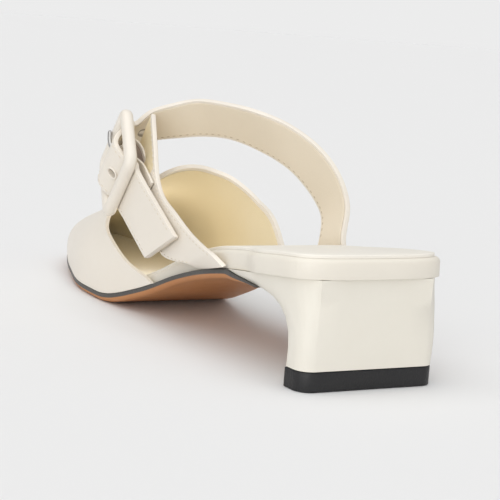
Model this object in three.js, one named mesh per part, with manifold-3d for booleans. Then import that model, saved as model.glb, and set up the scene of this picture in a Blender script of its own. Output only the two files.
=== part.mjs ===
// A left mule on a wide block heel: closed toe cut away at the sides, a strap over the instep that
// runs through a large covered buckle, and a quarter strap that carries the buckle.
// Millimetres, +Z up, +Y to the toe, +X to the inner side. The origin is the middle of the heel's
// resting face.
import * as THREE from 'three';
import { mergeVertices } from 'three/addons/utils/BufferGeometryUtils.js';
import Module from 'manifold-3d';

// Shoe
const shoeLength = 245;
const ballWidth = 60;
const waistWidth = 42;
const seatWidth = 55.5;
const seatHeight = 34.9;
const toeSpring = 8.3;
const instepHeight = 80;
const clearance = 0.3;

// Sole and footbed
const soleThickness = 3.3;
const soleEndThickness = 1.2;
const footbedSeat = 6.4;
const footbedFore = 3.6;
const rimRound = 1.6;
const sockThickness = 0.9;
const sockInset = 1.8;
const toeRelief = 5;

// Heel
const heelWidth = 50.3;
const heelDepth = 10;
const heelCorner = 5;
const topPieceThickness = 6.2;
const rimOverhang = 1.7;
const breastTip = 49;
const seatOverhang = 2.0;

// Upper
const vampWall = 1.8;
const strapThickness = 2.2;
const strapWidth = 21;
const tailLength = 39;
const quarterThickness = 2;

// Buckle
const buckleAcross = 31.5;
const buckleAlong = 29.6;
const buckleBar = 4.4;
const buckleThickness = 3.6;
const buckleCorner = 4.8;
const centreBarRadius = 1.4;
const loopThickness = 1.1;
const loopWidth = 15;
const prongRadius = 0.8;
const prongShift = -2.4;
const prongSlot = 3.4;

const seatBack = -(heelDepth / 2 + seatOverhang);

// Outline of the sole: half width and middle of each station along the shoe
const outline = [
  { along: 0.06, half: 0.5 * seatWidth, middle: 0 },
  { along: 0.1, half: 0.5 * seatWidth, middle: 0 },
  { along: 0.16, half: 0.48 * seatWidth, middle: -0.003 * ballWidth },
  { along: 0.23, half: 0.445 * seatWidth, middle: -0.011 * ballWidth },
  { along: 0.3, half: 0.532 * waistWidth, middle: -0.025 * ballWidth },
  { along: 0.38, half: 0.5 * waistWidth, middle: -0.035 * ballWidth },
  { along: 0.46, half: 0.53 * waistWidth, middle: -0.03 * ballWidth },
  { along: 0.55, half: 0.425 * ballWidth, middle: -0.008 * ballWidth },
  { along: 0.63, half: 0.474 * ballWidth, middle: 0.032 * ballWidth },
  { along: 0.72, half: 0.5 * ballWidth, middle: 0.085 * ballWidth },
  { along: 0.8, half: 0.5 * ballWidth, middle: 0.125 * ballWidth },
  { along: 0.9, half: 0.5 * ballWidth, middle: 0.14 * ballWidth },
  { along: 1, half: 0.5 * ballWidth, middle: 0.145 * ballWidth },
];
const toeStart = 0.66;
const toeFullness = 0.75;
const seatRound = 0.06;
const seatSquareness = 3.2;

// Side view of the footbed's underside: rise as a share of the seat height, spring of the toe spring
const profile = [
  { along: 0, rise: 1, spring: 0 },
  { along: 0.04, rise: 0.98, spring: 0 },
  { along: 0.08, rise: 0.949, spring: 0 },
  { along: 0.16, rise: 0.873, spring: 0 },
  { along: 0.23, rise: 0.804, spring: 0 },
  { along: 0.295, rise: 0.709, spring: 0 },
  { along: 0.38, rise: 0.528, spring: 0 },
  { along: 0.463, rise: 0.285, spring: 0 },
  { along: 0.506, rise: 0.174, spring: 0 },
  { along: 0.547, rise: 0.079, spring: 0 },
  { along: 0.58, rise: 0.022, spring: 0 },
  { along: 0.61, rise: 0, spring: 0 },
  { along: 0.69, rise: 0, spring: 0 },
  { along: 0.8, rise: 0, spring: 0.16 },
  { along: 0.89, rise: 0, spring: 0.45 },
  { along: 0.955, rise: 0, spring: 0.77 },
  { along: 1, rise: 0, spring: 1 },
];

// Heel breast: the curve from the tip under the arch back and down to the top piece
const breast = [
  { forward: 1, height: 1 },
  { forward: 0.84, height: 0.97 },
  { forward: 0.6, height: 0.945 },
  { forward: 0.38, height: 0.915 },
  { forward: 0.24, height: 0.86 },
  { forward: 0.115, height: 0.745 },
  { forward: 0.03, height: 0.54 },
  { forward: 0.0, height: 0.3 },
  { forward: 0.0, height: 0 },
];

// Top of the foot: height of the ridge and side bulge of the sections over the sole
const ridge = [
  { along: 0.3, height: 1.0, bulge: 0.05, lean: 0.03 },
  { along: 0.38, height: 0.98, bulge: 0.05, lean: 0.03 },
  { along: 0.46, height: 0.82, bulge: 0.05, lean: 0.03 },
  { along: 0.55, height: 0.69, bulge: 0.05, lean: 0.03 },
  { along: 0.6, height: 0.6, bulge: 0.05, lean: 0.03 },
  { along: 0.68, height: 0.5, bulge: 0.045, lean: 0.02 },
  { along: 0.77, height: 0.41, bulge: 0.04, lean: 0.01 },
  { along: 0.85, height: 0.34, bulge: 0.03, lean: 0 },
  { along: 0.92, height: 0.29, bulge: 0.02, lean: 0 },
  { along: 1, height: 0.26, bulge: 0, lean: 0 },
];
const toeBoxStart = 0.8;

// Edge of the vamp from the outer side (turn 0) over the ridge (0.5) to the inner side (1)
const topline = [
  { turn: 0, along: 0.448 },
  { turn: 0.06, along: 0.524 },
  { turn: 0.13, along: 0.58 },
  { turn: 0.2, along: 0.626 },
  { turn: 0.27, along: 0.646 },
  { turn: 0.34, along: 0.612 },
  { turn: 0.42, along: 0.57 },
  { turn: 0.5, along: 0.555 },
  { turn: 0.6, along: 0.546 },
  { turn: 0.7, along: 0.515 },
  { turn: 0.8, along: 0.464 },
  { turn: 0.9, along: 0.402 },
  { turn: 1, along: 0.346 },
];

// A smooth line through one column of a table, without overshoot
function smoothColumn(table, by, column) {
  const slope = table.slice(1).map((row, i) => (
    (row[column] - table[i][column]) / (row[by] - table[i][by])
  ));
  const tangent = table.map((row, i) => {
    if (i === 0) return slope[0];
    if (i === table.length - 1) return slope[i - 1];
    if (slope[i - 1] * slope[i] <= 0) return 0;
    return (2 * slope[i - 1] * slope[i]) / (slope[i - 1] + slope[i]);
  });
  return (x) => {
    if (x <= table[0][by]) return table[0][column];
    if (x >= table[table.length - 1][by]) return table[table.length - 1][column];
    const i = table.findIndex((row) => row[by] > x) - 1;
    const width = table[i + 1][by] - table[i][by];
    const t = (x - table[i][by]) / width;
    const a = table[i][column];
    const b = table[i + 1][column];
    const rise = (t * t * (3 - 2 * t)) * (b - a);
    const bend = width * (t * (1 - t) * (1 - t) * tangent[i] - t * t * (1 - t) * tangent[i + 1]);
    return a + rise + bend;
  };
}

const outlineHalf = smoothColumn(outline, 'along', 'half');
const outlineMiddle = smoothColumn(outline, 'along', 'middle');
const profileRise = smoothColumn(profile, 'along', 'rise');
const profileSpring = smoothColumn(profile, 'along', 'spring');
const ridgeHeight = smoothColumn(ridge, 'along', 'height');
const ridgeBulge = smoothColumn(ridge, 'along', 'bulge');
const ridgeLean = smoothColumn(ridge, 'along', 'lean');
const toplineAlong = smoothColumn(topline, 'turn', 'along');

const mix = (a, b, t) => a + (b - a) * t;
const ease = (t) => {
  const c = Math.min(1, Math.max(0, t));
  return c * c * (3 - 2 * c);
};

// Half width of the sole at a share of its length, rounded to nothing at the toe and the seat
function halfWidth(along) {
  if (along > toeStart) {
    const t = Math.min(1, (along - toeStart) / (1 - toeStart));
    return outlineHalf(along) * Math.pow(1 - t * t, toeFullness);
  }
  if (along < seatRound) {
    const t = 1 - Math.max(0, along) / seatRound;
    return outlineHalf(along) * Math.pow(1 - Math.pow(t, seatSquareness), 1 / seatSquareness);
  }
  return outlineHalf(along);
}

// Underside of the footbed in side view
function underside(along) {
  const height = mix(soleThickness, seatHeight, profileRise(along));
  return new THREE.Vector2(seatBack + shoeLength * along, height + toeSpring * profileSpring(along));
}

// A point a given height above the underside, square to it
function above(along, lift) {
  const step = 0.002;
  const here = underside(along);
  const slope = underside(Math.min(1, along + step)).sub(underside(Math.max(0, along - step))).normalize();
  return new THREE.Vector2(here.x - slope.y * lift, here.y + slope.x * lift);
}

// Stations along the shoe, closer together at rounded ends
function stations(from, to, count, endRound = false, startRound = false) {
  return Array.from({ length: count + 1 }, (_, i) => {
    const t = i / count;
    let share = t;
    if (endRound && startRound) share = 0.5 - 0.5 * Math.cos(Math.PI * t);
    else if (endRound) share = Math.sin((Math.PI / 2) * t);
    else if (startRound) share = 1 - Math.cos((Math.PI / 2) * t);
    return mix(from, to, share);
  });
}

// A closed solid from levels of points, each level a grid with the same rows and columns
function stacked(levels) {
  const rows = levels[0].length;
  const columns = levels[0][0].length;
  const points = levels.flat(2);
  const index = (k, i, j) => (k * rows + i) * columns + j;
  const rim = [];
  for (let j = 0; j < columns - 1; j++) rim.push([0, j]);
  for (let i = 0; i < rows - 1; i++) rim.push([i, columns - 1]);
  for (let j = columns - 1; j > 0; j--) rim.push([rows - 1, j]);
  for (let i = rows - 1; i > 0; i--) rim.push([i, 0]);
  const faces = [];
  const quad = (a, b, c, d) => faces.push([a, b, c], [a, c, d]);
  const last = levels.length - 1;
  for (let i = 0; i < rows - 1; i++) {
    for (let j = 0; j < columns - 1; j++) {
      quad(index(0, i, j), index(0, i + 1, j), index(0, i + 1, j + 1), index(0, i, j + 1));
      quad(index(last, i, j), index(last, i, j + 1), index(last, i + 1, j + 1), index(last, i + 1, j));
    }
  }
  for (let k = 0; k < last; k++) {
    rim.forEach(([i, j], n) => {
      const [p, q] = rim[(n + 1) % rim.length];
      quad(index(k, i, j), index(k, p, q), index(k + 1, p, q), index(k + 1, i, j));
    });
  }
  return closedGeometry(points, faces);
}

// Joins equal points, drops flat triangles and turns the body right side out
function closedGeometry(points, faces) {
  const loose = new THREE.BufferGeometry();
  loose.setAttribute('position', new THREE.Float32BufferAttribute(points.flatMap((p) => [p.x, p.y, p.z]), 3));
  loose.setIndex(faces.flat());
  const merged = mergeVertices(loose, 1e-4);
  const indices = merged.index.array;
  const kept = [];
  for (let i = 0; i < indices.length; i += 3) {
    const [a, b, c] = indices.slice(i, i + 3);
    if (a !== b && b !== c && c !== a) kept.push(a, b, c);
  }
  const position = merged.attributes.position;
  const corner = (n) => new THREE.Vector3().fromBufferAttribute(position, n);
  let volume = 0;
  for (let i = 0; i < kept.length; i += 3) {
    volume += corner(kept[i]).dot(corner(kept[i + 1]).cross(corner(kept[i + 2])));
  }
  if (volume < 0) {
    for (let i = 0; i < kept.length; i += 3) [kept[i], kept[i + 1]] = [kept[i + 1], kept[i]];
  }
  merged.setIndex(kept);
  return merged;
}

const manifoldLibrary = await Module();
manifoldLibrary.setup();

function toManifold(geometry) {
  const bare = geometry.clone();
  bare.deleteAttribute('normal');
  bare.deleteAttribute('uv');
  const merged = mergeVertices(bare, 1e-4);
  return new manifoldLibrary.Manifold(
    new manifoldLibrary.Mesh({
      numProp: 3,
      vertProperties: new Float32Array(merged.attributes.position.array),
      triVerts: new Uint32Array(merged.index.array),
    }),
  );
}

function fromManifold(solid) {
  const mesh = solid.getMesh();
  const geometry = new THREE.BufferGeometry();
  geometry.setAttribute('position', new THREE.Float32BufferAttribute(mesh.vertProperties, 3));
  geometry.setIndex(Array.from(mesh.triVerts));
  return geometry;
}

const shoe = new THREE.Group();

function addPiece(name, geometry, color, roughness, metalness = 0, parent = shoe) {
  geometry.computeVertexNormals();
  const mesh = new THREE.Mesh(geometry, new THREE.MeshStandardMaterial({ color, roughness, metalness }));
  mesh.name = name;
  parent.add(mesh);
  return mesh;
}

// A point of the sole's outline in plan, moved in square to the edge; side is -1 outer, 1 inner
function outlinePoint(along, side, inset) {
  const step = 0.001;
  const edge = (a) => outlineMiddle(a) + side * halfWidth(a);
  const from = Math.max(0, along - step);
  const to = Math.min(1, along + step);
  const tangent = new THREE.Vector2(edge(to) - edge(from), shoeLength * (to - from)).normalize();
  const point = new THREE.Vector2(edge(along), seatBack + shoeLength * along);
  if (along <= 0 || along >= 1) return point.sub(new THREE.Vector2(0, along >= 1 ? inset : -inset));
  return point.sub(new THREE.Vector2(side * tangent.y, -side * tangent.x).multiplyScalar(inset));
}

// Edge of the outline moved in all round by an inset, at a place along the shoe
function insetEdge(y, side, inset) {
  const samples = 12;
  const reaches = Array.from({ length: 2 * samples + 1 }, (_, n) => {
    const offset = (inset * (n - samples)) / samples;
    const along = Math.min(1, Math.max(0, (y + offset - seatBack) / shoeLength));
    const edge = side * outlineMiddle(along) + halfWidth(along);
    return edge - Math.sqrt(Math.max(0, inset * inset - offset * offset));
  });
  return side * Math.min(...reaches);
}

// Last place before an end of the shoe at which the inset outline still has a width
function insetEnd(from, to, inset) {
  let inside = from;
  let outside = to;
  for (let n = 0; n < 24; n++) {
    const y = (inside + outside) / 2;
    if (insetEdge(y, 1, inset) > insetEdge(y, -1, inset)) inside = y;
    else outside = y;
  }
  return inside;
}

// Grid of a sole-shaped sheet: rows along the shoe, columns across it
function soleGrid(rows, columns, lift, inset) {
  const waist = seatBack + shoeLength / 2;
  const rear = insetEnd(waist, seatBack, inset(0));
  const front = insetEnd(waist, seatBack + shoeLength, inset(1));
  return rows.map((row) => {
    const y = mix(rear, front, row);
    const share = (y - seatBack) / shoeLength;
    const outer = insetEdge(y, -1, inset(share));
    const inner = insetEdge(y, 1, inset(share));
    const place = above(share, lift(share));
    return Array.from({ length: columns + 1 }, (_, j) => {
      const across = row > 0 && row < 1 ? j / columns : 0.5;
      return new THREE.Vector3(mix(outer, inner, across), place.x, place.y);
    });
  });
}

// Heel breast as points in side view; the outsole's rear end lies along it
const breastBase = new THREE.Vector2(heelDepth / 2, topPieceThickness + clearance);
const breastTipAlong = (breastTip - seatBack) / shoeLength;
const breastTop = above(breastTipAlong, -clearance);
const breastCurve = new THREE.CatmullRomCurve3(
  breast.map(({ forward, height }) => new THREE.Vector3(
    0,
    mix(breastBase.x, breastTop.x, forward),
    mix(breastBase.y, breastTop.y, height),
  )),
  false,
  'centripetal',
);

function buildTopPiece() {
  return heelSlab(0, topPieceThickness);
}

// Rows of the heel's foot from back to front with rounded back corners
function heelFootRow(share, across) {
  const y = mix(-heelDepth / 2, heelDepth / 2, share);
  const t = Math.max(0, 1 - (share * heelDepth) / heelCorner);
  const half = heelWidth / 2 - heelCorner + heelCorner * Math.sqrt(Math.max(0, 1 - t * t));
  return new THREE.Vector3(across * half, y, 0);
}

const heelRows = [0, 0.03, 0.1, 0.2, 0.3, 0.4, 0.6, 0.8, 1];
const heelColumns = 10;

function heelSlab(bottom, top) {
  const level = (z) => heelRows.map((share) => Array.from({ length: heelColumns + 1 }, (_, j) => {
    const point = heelFootRow(share, (2 * j) / heelColumns - 1);
    point.z = z;
    return point;
  }));
  return stacked([level(bottom), level(top)]);
}

function buildHeelBlock() {
  const levels = 12;
  const topFrom = rimOverhang / shoeLength;
  const topAlong = (share) => mix(topFrom, breastTipAlong, share);
  const backTop = above(topFrom, -clearance);
  const backBase = new THREE.Vector2(-heelDepth / 2, topPieceThickness + clearance);
  const grid = [];
  for (let k = 0; k <= levels; k++) {
    const up = k / levels;
    const frontPoint = breastCurve.getPoint(1 - up);
    const front = new THREE.Vector2(frontPoint.y, frontPoint.z);
    const back = new THREE.Vector2().lerpVectors(backBase, backTop, up);
    grid.push(heelRows.map((share) => {
      const base = new THREE.Vector2(mix(backBase.x, breastBase.x, share), backBase.y);
      const top = above(topAlong(share), -clearance);
      const straightBase = new THREE.Vector2().lerpVectors(base, top, up);
      const straightSide = new THREE.Vector2().lerpVectors(back, front, share);
      const low = new THREE.Vector2().lerpVectors(backBase, breastBase, share);
      const high = new THREE.Vector2().lerpVectors(backTop, breastTop, share);
      const corner = low.lerp(high, up);
      const place = straightBase.add(straightSide).sub(corner);
      const topHalf = halfWidth(Math.max(topAlong(share), 0.012)) - rimOverhang;
      const topMiddle = outlineMiddle(topAlong(share));
      return Array.from({ length: heelColumns + 1 }, (_, j) => {
        const across = (2 * j) / heelColumns - 1;
        const foot = heelFootRow(share, across).x;
        const x = mix(foot, topMiddle + across * topHalf, up);
        return new THREE.Vector3(x, place.x, place.y);
      });
    }));
  }
  return stacked(grid);
}

function buildOutsole() {
  const columns = 6;
  const lapLength = 0.45;
  const rows = [];
  const lapRows = 8;
  for (let i = 0; i < lapRows; i++) {
    const point = breastCurve.getPoint(mix(lapLength, 0, i / lapRows));
    const next = breastCurve.getPoint(mix(lapLength, 0, i / lapRows) + 0.01);
    const tangent = new THREE.Vector2(point.y - next.y, point.z - next.z).normalize();
    const along = (point.y - seatBack) / shoeLength;
    const thickness = mix(soleEndThickness, soleThickness, ease(i / (lapRows - 1)));
    const top = new THREE.Vector2(point.y + tangent.y * clearance, point.z - tangent.x * clearance);
    rows.push({
      along,
      top,
      bottom: new THREE.Vector2(top.x + tangent.y * thickness, top.y - tangent.x * thickness),
    });
  }
  for (const along of stations(breastTipAlong + 0.012, 1, 44, true)) {
    rows.push({ along, top: above(along, -clearance), bottom: above(along, -soleThickness) });
  }
  const level = (side) => rows.map((row) => {
    const half = halfWidth(row.along) - rimOverhang * (1 - ease((row.along - breastTipAlong) / 0.06));
    return Array.from({ length: columns + 1 }, (_, j) => {
      const across = (2 * j) / columns - 1;
      return new THREE.Vector3(outlineMiddle(row.along) + half * across, row[side].x, row[side].y);
    });
  });
  return stacked([level('bottom'), level('top')]);
}

// How far the footbed stands inside the sole's outline: nothing at the seat, a strap's or the
// vamp's wall from the waist on
const upperInset = (along) => (
  (strapThickness + 2 * clearance) * ease((along - 0.12) / 0.06) + toeRelief * ease((along - 0.9) / 0.1)
);
const footbedThickness = (along) => mix(footbedSeat, footbedFore, ease((along - 0.25) / 0.3));

function buildFootbed() {
  const rows = stations(0, 1, 36, true, true);
  const columns = 6;
  return stacked([
    soleGrid(rows, columns, () => 0, (a) => upperInset(a) + 0.4),
    soleGrid(rows, columns, () => 0.5, upperInset),
    soleGrid(rows, columns, (a) => footbedThickness(a) - rimRound, upperInset),
    soleGrid(rows, columns, (a) => footbedThickness(a) - 0.3 * rimRound, (a) => upperInset(a) + 0.3 * rimRound),
    soleGrid(rows, columns, (a) => footbedThickness(a), (a) => upperInset(a) + rimRound),
  ]);
}

function buildSockLining() {
  const rows = stations(0, 1, 36, true, true);
  const inset = (along) => upperInset(along) + sockInset;
  const lift = (extra) => (along) => footbedThickness(along) + extra;
  return stacked([
    soleGrid(rows, 6, lift(clearance), inset),
    soleGrid(rows, 6, lift(clearance + sockThickness), inset),
  ]);
}

// A point of the vamp along the shoe and round it from the outer to the inner side, moved inwards
function footSurface(along, turn, inset) {
  const c = Math.cos(Math.PI * turn);
  const s = Math.sin(Math.PI * turn);
  const outer = outlinePoint(along, -1, inset);
  const inner = outlinePoint(along, 1, inset);
  const side = -Math.sign(c) * Math.pow(Math.abs(c), 0.92);
  const plan = new THREE.Vector2().lerpVectors(outer, inner, 0.5 + 0.5 * side);
  const floor = underside((plan.y - seatBack) / shoeLength).y;
  const toe = Math.min(1, Math.max(0, (along - toeBoxStart) / (1 - toeBoxStart)));
  const crown = (instepHeight * ridgeHeight(along) - floor) * Math.sqrt(1 - toe ** 3) - inset;
  const fade = Math.min(1, halfWidth(along) / (0.3 * ballWidth));
  const bulge = ridgeBulge(along) * ballWidth * fade * Math.abs(Math.sin(2 * Math.PI * turn));
  const x = plan.x - Math.sign(c) * bulge + ridgeLean(along) * ballWidth * s;
  return new THREE.Vector3(x, plan.y, floor + Math.max(0, crown) * Math.pow(s, 0.9));
}

function buildVamp() {
  const rows = 22;
  const columns = 26;
  const level = (inset) => Array.from({ length: rows + 1 }, (_, i) => {
    const toToe = 1 - (1 - i / rows) ** 2;
    return Array.from({ length: columns + 1 }, (_, j) => {
      const turn = j / columns;
      return footSurface(mix(toplineAlong(turn), 1, toToe), turn, inset);
    });
  });
  return stacked([level(vampWall), level(0)]);
}

// Buckle: its own frame has X across the strap to the toe, Y down the strap and Z out of the shoe
const downStrap = new THREE.Vector3(-0.23, -0.74, -0.63).normalize();
const acrossStrap = new THREE.Vector3(0.03, 0.66, -0.75).projectOnPlane(downStrap).normalize();
const outOfStrap = new THREE.Vector3().crossVectors(acrossStrap, downStrap);
const buckle = new THREE.Group();
buckle.position.set(-0.467 * ballWidth, seatBack + 0.554 * shoeLength, 0.683 * instepHeight);
buckle.quaternion.setFromRotationMatrix(new THREE.Matrix4().makeBasis(acrossStrap, downStrap, outOfStrap));
buckle.updateMatrix();

// A point in the buckle's frame: down the strap, across it and out of it
const atBuckle = (down, across, out) => new THREE.Vector3(across, down, out).applyMatrix4(buckle.matrix);

// A point of the shoe in shares: side of the ball width, along the shoe, up the instep
const atShoe = (side, along, up) => (
  new THREE.Vector3(side * ballWidth, seatBack + along * shoeLength, up * instepHeight)
);

// A strap between a rear and a front edge, of an even thickness
function ribbon(rows, thickness, count) {
  const rear = new THREE.CatmullRomCurve3(rows.map((row) => row.rear), false, 'centripetal');
  const front = new THREE.CatmullRomCurve3(rows.map((row) => row.front), false, 'centripetal');
  const section = (t) => {
    const a = rear.getPoint(t);
    const b = front.getPoint(t);
    const direction = rear.getTangent(t).add(front.getTangent(t));
    const normal = direction.cross(b.clone().sub(a)).normalize().multiplyScalar(thickness / 2);
    return [[a.clone().sub(normal), b.clone().sub(normal)], [a.clone().add(normal), b.clone().add(normal)]];
  };
  const sections = Array.from({ length: count + 1 }, (_, i) => section(i / count));
  return stacked([sections.map((pair) => pair[0]), sections.map((pair) => pair[1])]);
}

// Where a strap's foot stands on the sole, between the footbed and the sole's edge
function strapFoot(side, along, thickness) {
  const plan = outlinePoint(along, side, clearance + thickness / 2);
  const share = (plan.y - seatBack) / shoeLength;
  return new THREE.Vector3(plan.x, plan.y, underside(share).y + 3 * clearance);
}

const instepRise = [
  { rear: [0.382, 0.234, 0.474], front: [0.371, 0.291, 0.447] },
  { rear: [0.469, 0.263, 0.618], front: [0.432, 0.314, 0.534] },
  { rear: [0.465, 0.294, 0.745], front: [0.45, 0.337, 0.588] },
  { rear: [0.409, 0.332, 0.85], front: [0.426, 0.365, 0.659] },
  { rear: [0.297, 0.378, 0.934], front: [0.366, 0.393, 0.729] },
  { rear: [0.178, 0.416, 0.975], front: [0.283, 0.443, 0.79] },
  { rear: [0.078, 0.46, 0.995], front: [0.165, 0.482, 0.828] },
  { rear: [-0.048, 0.509, 0.999], front: [0.067, 0.518, 0.829] },
  { rear: [-0.164, 0.526, 0.971], front: [-0.049, 0.547, 0.813] },
  { rear: [-0.261, 0.554, 0.927], front: [-0.183, 0.596, 0.775] },
  { rear: [-0.335, 0.568, 0.864], front: [-0.29, 0.625, 0.715] },
];

const throughBuckle = [
  { down: -0.44, rear: -0.33, front: 0.33, out: -0.97 },
  { down: -0.325, rear: -0.33, front: 0.33, out: -0.83 },
  { down: -0.215, rear: -0.33, front: 0.33, out: 0.5 },
  { down: 0, rear: -0.33, front: 0.33, out: 1.3 },
  { down: 0.2, rear: -0.335, front: 0.325, out: 0.47 },
  { down: 0.325, rear: -0.345, front: 0.32, out: -0.86 },
  { down: 0.44, rear: -0.35, front: 0.335, out: -0.95 },
];

// The tail hangs from the buckle: its rear edge is the longer, and it drifts to the heel and inwards
const tailDrift = 9.1;
const tailDrop = { rear: 8.4, front: 5 };
const tailSlant = 7.6;

function instepStrapRows() {
  const rows = [{ rear: strapFoot(1, 0.222, strapThickness), front: strapFoot(1, 0.29, strapThickness) }];
  for (const row of instepRise) rows.push({ rear: atShoe(...row.rear), front: atShoe(...row.front) });
  for (const { down, rear, front, out } of throughBuckle) {
    rows.push({
      rear: atBuckle(down * buckleAlong, rear * buckleAcross, out * buckleThickness),
      front: atBuckle(down * buckleAlong, front * buckleAcross, out * buckleThickness),
    });
  }
  const leaving = throughBuckle[throughBuckle.length - 1];
  const start = leaving.down * buckleAlong;
  const out = leaving.out * buckleThickness;
  for (const share of [0.2, 0.45, 0.72, 1]) {
    const across = -tailDrift * share;
    rows.push({
      rear: atBuckle(start + tailLength * share, across - strapWidth / 2, out - tailDrop.rear * share),
      front: atBuckle(
        start + (tailLength - tailSlant) * share,
        across + strapWidth / 2,
        out - tailDrop.front * share,
      ),
    });
  }
  return rows;
}

// A box in the buckle's frame, for holes and slots
function buckleBox(down, across, out, lengths) {
  const box = new THREE.BoxGeometry(lengths.across, lengths.down, lengths.out);
  box.translate(across, down, out);
  return toManifold(box.applyMatrix4(buckle.matrix));
}

function buildInstepStrap() {
  const strap = toManifold(ribbon(instepStrapRows(), strapThickness, 84));
  const hole = buckleBox(-0.19 * buckleAlong, prongShift, 0, {
    across: prongSlot,
    down: prongSlot * 1.9,
    out: 4 * buckleThickness,
  });
  return fromManifold(strap.subtract(hole));
}

const quarterRise = [
  { rear: [-0.425, 0.25, 0.407], front: [-0.415, 0.32, 0.335] },
  { rear: [-0.433, 0.273, 0.427], front: [-0.425, 0.355, 0.325] },
  { rear: [-0.433, 0.32, 0.469], front: [-0.433, 0.395, 0.33] },
  { rear: [-0.433, 0.367, 0.53], front: [-0.433, 0.428, 0.381] },
  { rear: [-0.417, 0.418, 0.588], front: [-0.425, 0.482, 0.438] },
  { rear: [-0.39, 0.452, 0.66], front: [-0.385, 0.51, 0.51] },
  { rear: [-0.35, 0.484, 0.775], front: [-0.345, 0.537, 0.6] },
  { rear: [-0.3, 0.519, 0.87], front: [-0.29, 0.565, 0.675] },
  { rear: [-0.26, 0.543, 0.919], front: [-0.282, 0.575, 0.74] },
];

function buildQuarterStrap() {
  const rows = [{ rear: strapFoot(-1, 0.229, quarterThickness), front: strapFoot(-1, 0.31, quarterThickness) }];
  for (const row of quarterRise) rows.push({ rear: atShoe(...row.rear), front: atShoe(...row.front) });
  return ribbon(rows, quarterThickness, 40);
}

function roundedRectangle(width, height, radius) {
  const shape = new THREE.Shape();
  const x = width / 2;
  const y = height / 2;
  shape.moveTo(-x + radius, -y);
  shape.lineTo(x - radius, -y);
  shape.absarc(x - radius, -y + radius, radius, -Math.PI / 2, 0);
  shape.lineTo(x, y - radius);
  shape.absarc(x - radius, y - radius, radius, 0, Math.PI / 2);
  shape.lineTo(-x + radius, y);
  shape.absarc(-x + radius, y - radius, radius, Math.PI / 2, Math.PI);
  shape.lineTo(-x, -y + radius);
  shape.absarc(-x + radius, -y + radius, radius, Math.PI, 1.5 * Math.PI);
  return shape;
}

function buildBuckleFrame() {
  const edge = 1.1;
  const shape = roundedRectangle(buckleAcross - 2 * edge, buckleAlong - 2 * edge, buckleCorner - edge);
  shape.holes.push(roundedRectangle(
    buckleAcross - 2 * buckleBar + 2 * edge,
    buckleAlong - 2 * buckleBar + 2 * edge,
    1.2 + edge,
  ));
  const frame = new THREE.ExtrudeGeometry(shape, {
    depth: buckleThickness - 2 * edge,
    bevelThickness: edge,
    bevelSize: edge,
    bevelSegments: 2,
    curveSegments: 5,
  });
  frame.translate(0, 0, -buckleThickness / 2 + edge);
  const bar = new THREE.CylinderGeometry(centreBarRadius, centreBarRadius, buckleAcross - buckleBar, 14);
  bar.rotateZ(Math.PI / 2);
  return fromManifold(toManifold(frame).add(toManifold(bar)));
}

function tubeAlong(points, radius, steps, sides) {
  const circle = new THREE.Shape();
  circle.absarc(0, 0, radius, 0, 2 * Math.PI);
  return new THREE.ExtrudeGeometry(circle, {
    steps,
    curveSegments: sides,
    bevelEnabled: false,
    extrudePath: new THREE.CatmullRomCurve3(points),
  });
}

// A ring round the centre bar
function barRing(inner, outer, width, segments) {
  const profilePoints = [
    new THREE.Vector2(inner, -width / 2),
    new THREE.Vector2(outer, -width / 2),
    new THREE.Vector2(outer, width / 2),
    new THREE.Vector2(inner, width / 2),
    new THREE.Vector2(inner, -width / 2),
  ];
  return new THREE.LatheGeometry(profilePoints, segments).rotateZ(Math.PI / 2);
}

function buildProng() {
  const over = buckleThickness / 2 + clearance + prongRadius;
  const pin = tubeAlong(
    [
      new THREE.Vector3(prongShift, -0.074 * buckleAlong, 0.17 * buckleThickness),
      new THREE.Vector3(prongShift, -0.15 * buckleAlong, 0.72 * buckleThickness),
      new THREE.Vector3(prongShift, -0.26 * buckleAlong, over + prongRadius / 2),
      new THREE.Vector3(prongShift, -0.47 * buckleAlong, over),
    ],
    prongRadius,
    12,
    10,
  );
  const inner = centreBarRadius + clearance;
  const eye = barRing(inner, inner + 1.7 * prongRadius, 2 * prongRadius, 18);
  eye.translate(prongShift, 0, 0);
  return fromManifold(toManifold(eye).add(toManifold(pin)));
}

const loopRows = [
  { down: 0.03, rear: -0.28, front: 0.28, out: -0.65 },
  { down: 0.15, rear: -0.36, front: 0.24, out: -1.08 },
  { down: 0.29, rear: -0.465, front: 0.165, out: -1.5 },
  { down: 0.42, rear: -0.54, front: 0.08, out: -1.78 },
  { down: 0.545, rear: -0.58, front: 0, out: -2 },
];

function buildBuckleLoop() {
  const inner = centreBarRadius + clearance;
  const ring = toManifold(barRing(inner, inner + loopThickness, loopWidth, 20).applyMatrix4(buckle.matrix));
  const edges = loopRows.map(({ down, rear, front, out }) => ({
    rear: atBuckle(down * buckleAlong, rear * buckleAcross, out * buckleThickness),
    front: atBuckle(down * buckleAlong, front * buckleAcross, out * buckleThickness),
  }));
  const leg = toManifold(ribbon(edges, loopThickness, 14));
  const bore = toManifold(barRing(0, inner, loopWidth * 2, 20).applyMatrix4(buckle.matrix));
  const slot = buckleBox(-0.034 * buckleAlong, prongShift, 0, {
    across: prongSlot,
    down: 0.27 * buckleAlong,
    out: 3.3 * buckleThickness,
  });
  return fromManifold(ring.add(leg).subtract(slot).subtract(bore));
}

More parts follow.
